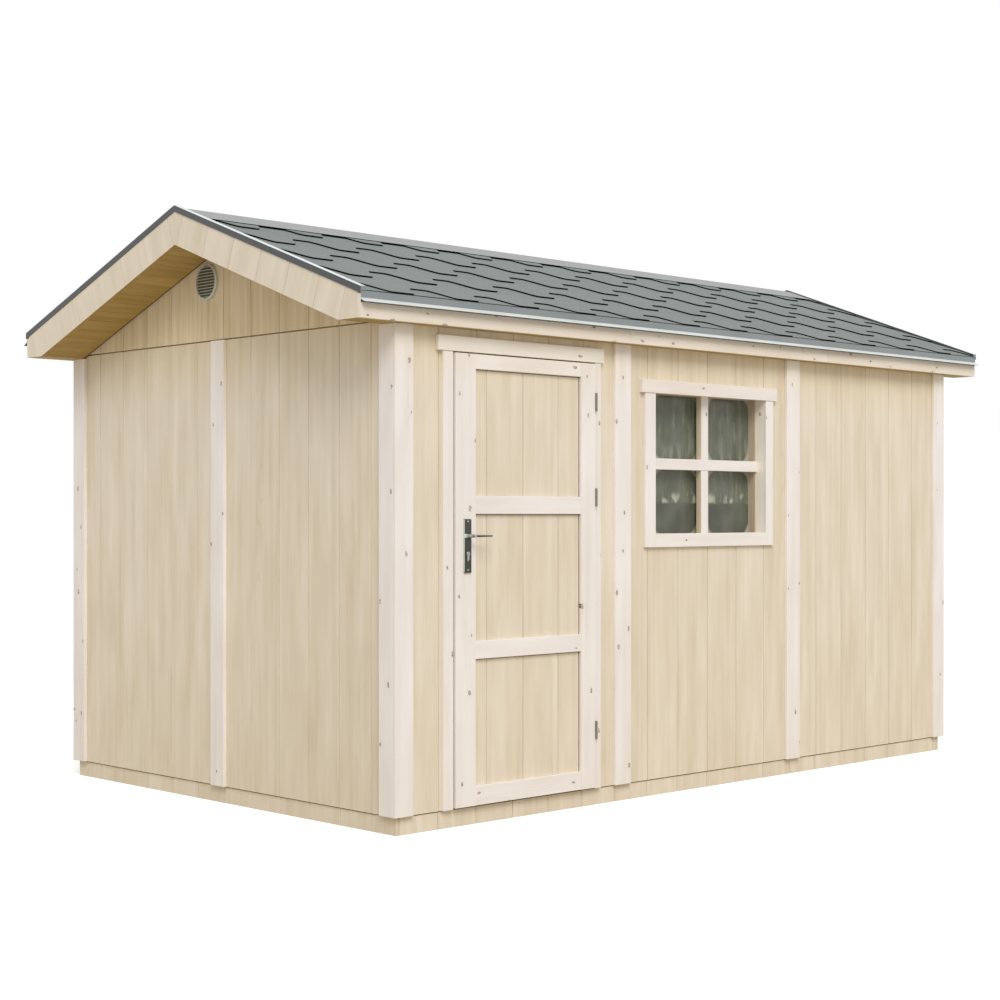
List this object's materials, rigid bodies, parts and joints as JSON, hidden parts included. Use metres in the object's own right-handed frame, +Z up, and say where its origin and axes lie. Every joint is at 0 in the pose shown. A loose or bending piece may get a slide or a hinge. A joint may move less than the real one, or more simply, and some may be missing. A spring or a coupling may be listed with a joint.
{
  "type": "garden shed",
  "caption": "Timber garden shed on a rectangular plan with a shallow gabled roof, an outward-opening panelled door with a lever handle, and a barred window.",
  "frame": {"origin": "on the ground, under the middle of the shed's bounding box", "axes": "+Z up, +X to the right along the long front side, the front with the door and window faces -Y"},
  "size_m": [4.195, 2.588, 2.5687],
  "materials": {
    "wall_timber": "planed softwood boards, pale beige",
    "floor_timber": "plain sawn softwood",
    "trim_timber": "planed softwood with small knots, pinkish white",
    "soffit_timber": "planed softwood boards",
    "roof_covering": "grey mineral-faced shingles",
    "ridge_covering": "grey mineral-faced capping",
    "sheet_metal": "dark grey folded sheet",
    "hinge_steel": "zinc-plated steel",
    "door_furniture": "dark grey satin",
    "vent_plastic": "light grey moulding",
    "window_glass": "clear pane over a dark interior"
  },
  "bodies": {
    "shed": {"plinth_long_boards": "wall_timber", "plinth_end_boards": "wall_timber", "front_wall_left": "wall_timber", "front_wall_over_door": "wall_timber", "front_wall_window": "wall_timber", "front_wall_right": "wall_timber", "back_wall": "wall_timber", "left_wall": "wall_timber", "right_wall": "wall_timber", "left_gable": "wall_timber", "right_gable": "wall_timber", "front_barge_boards": "wall_timber", "back_barge_boards": "wall_timber", "floor": "floor_timber", "floor_bearers": "floor_timber", "roof_deck_front": "floor_timber", "roof_deck_back": "floor_timber", "front_corner_boards": "trim_timber", "back_corner_boards": "trim_timber", "end_corner_boards": "trim_timber", "front_battens": "trim_timber", "back_battens": "trim_timber", "end_battens": "trim_timber", "eave_fascias": "trim_timber", "door_casings": "trim_timber", "door_head_board": "trim_timber", "door_frame": "trim_timber", "window_frame": "trim_timber", "window_bars": "trim_timber", "window_casing": "trim_timber", "window_head_board": "trim_timber", "front_gable_soffits": "soffit_timber", "back_gable_soffits": "soffit_timber", "eave_soffits": "soffit_timber", "roof_covering_front": "roof_covering", "roof_covering_back": "roof_covering", "ridge_cap": "ridge_covering", "gable_flashings": "sheet_metal", "drip_edges": "sheet_metal", "frame_hinges": "hinge_steel", "gable_vents": "vent_plastic", "window_glass": "window_glass"},
    "door": {"door_panel": "wall_timber", "door_stiles": "trim_timber", "door_rails": "trim_timber", "door_hinges": "hinge_steel", "handle_plates": "door_furniture", "lock_cylinder": "door_furniture"},
    "lever_handle": {"outside_lever": "door_furniture", "inside_lever": "door_furniture", "spindle": "door_furniture"}
  },
  "joints": [
    {"name": "door_hinge", "type": "hinge", "parent": "shed", "child": "door", "pos_m": [-0.7755, -1.2228, 0.9875], "axis": [0, 0, 1], "range_deg": [0, 165]},
    {"name": "lever_turn", "type": "hinge", "parent": "door", "child": "lever_handle", "pos_m": [-1.5155, -1.1975, 1.165], "axis": [0, 1, 0], "range_deg": [0, 40], "stiffness_Nm_per_rad": 1.5, "springref_deg": -34.38}
  ]
}
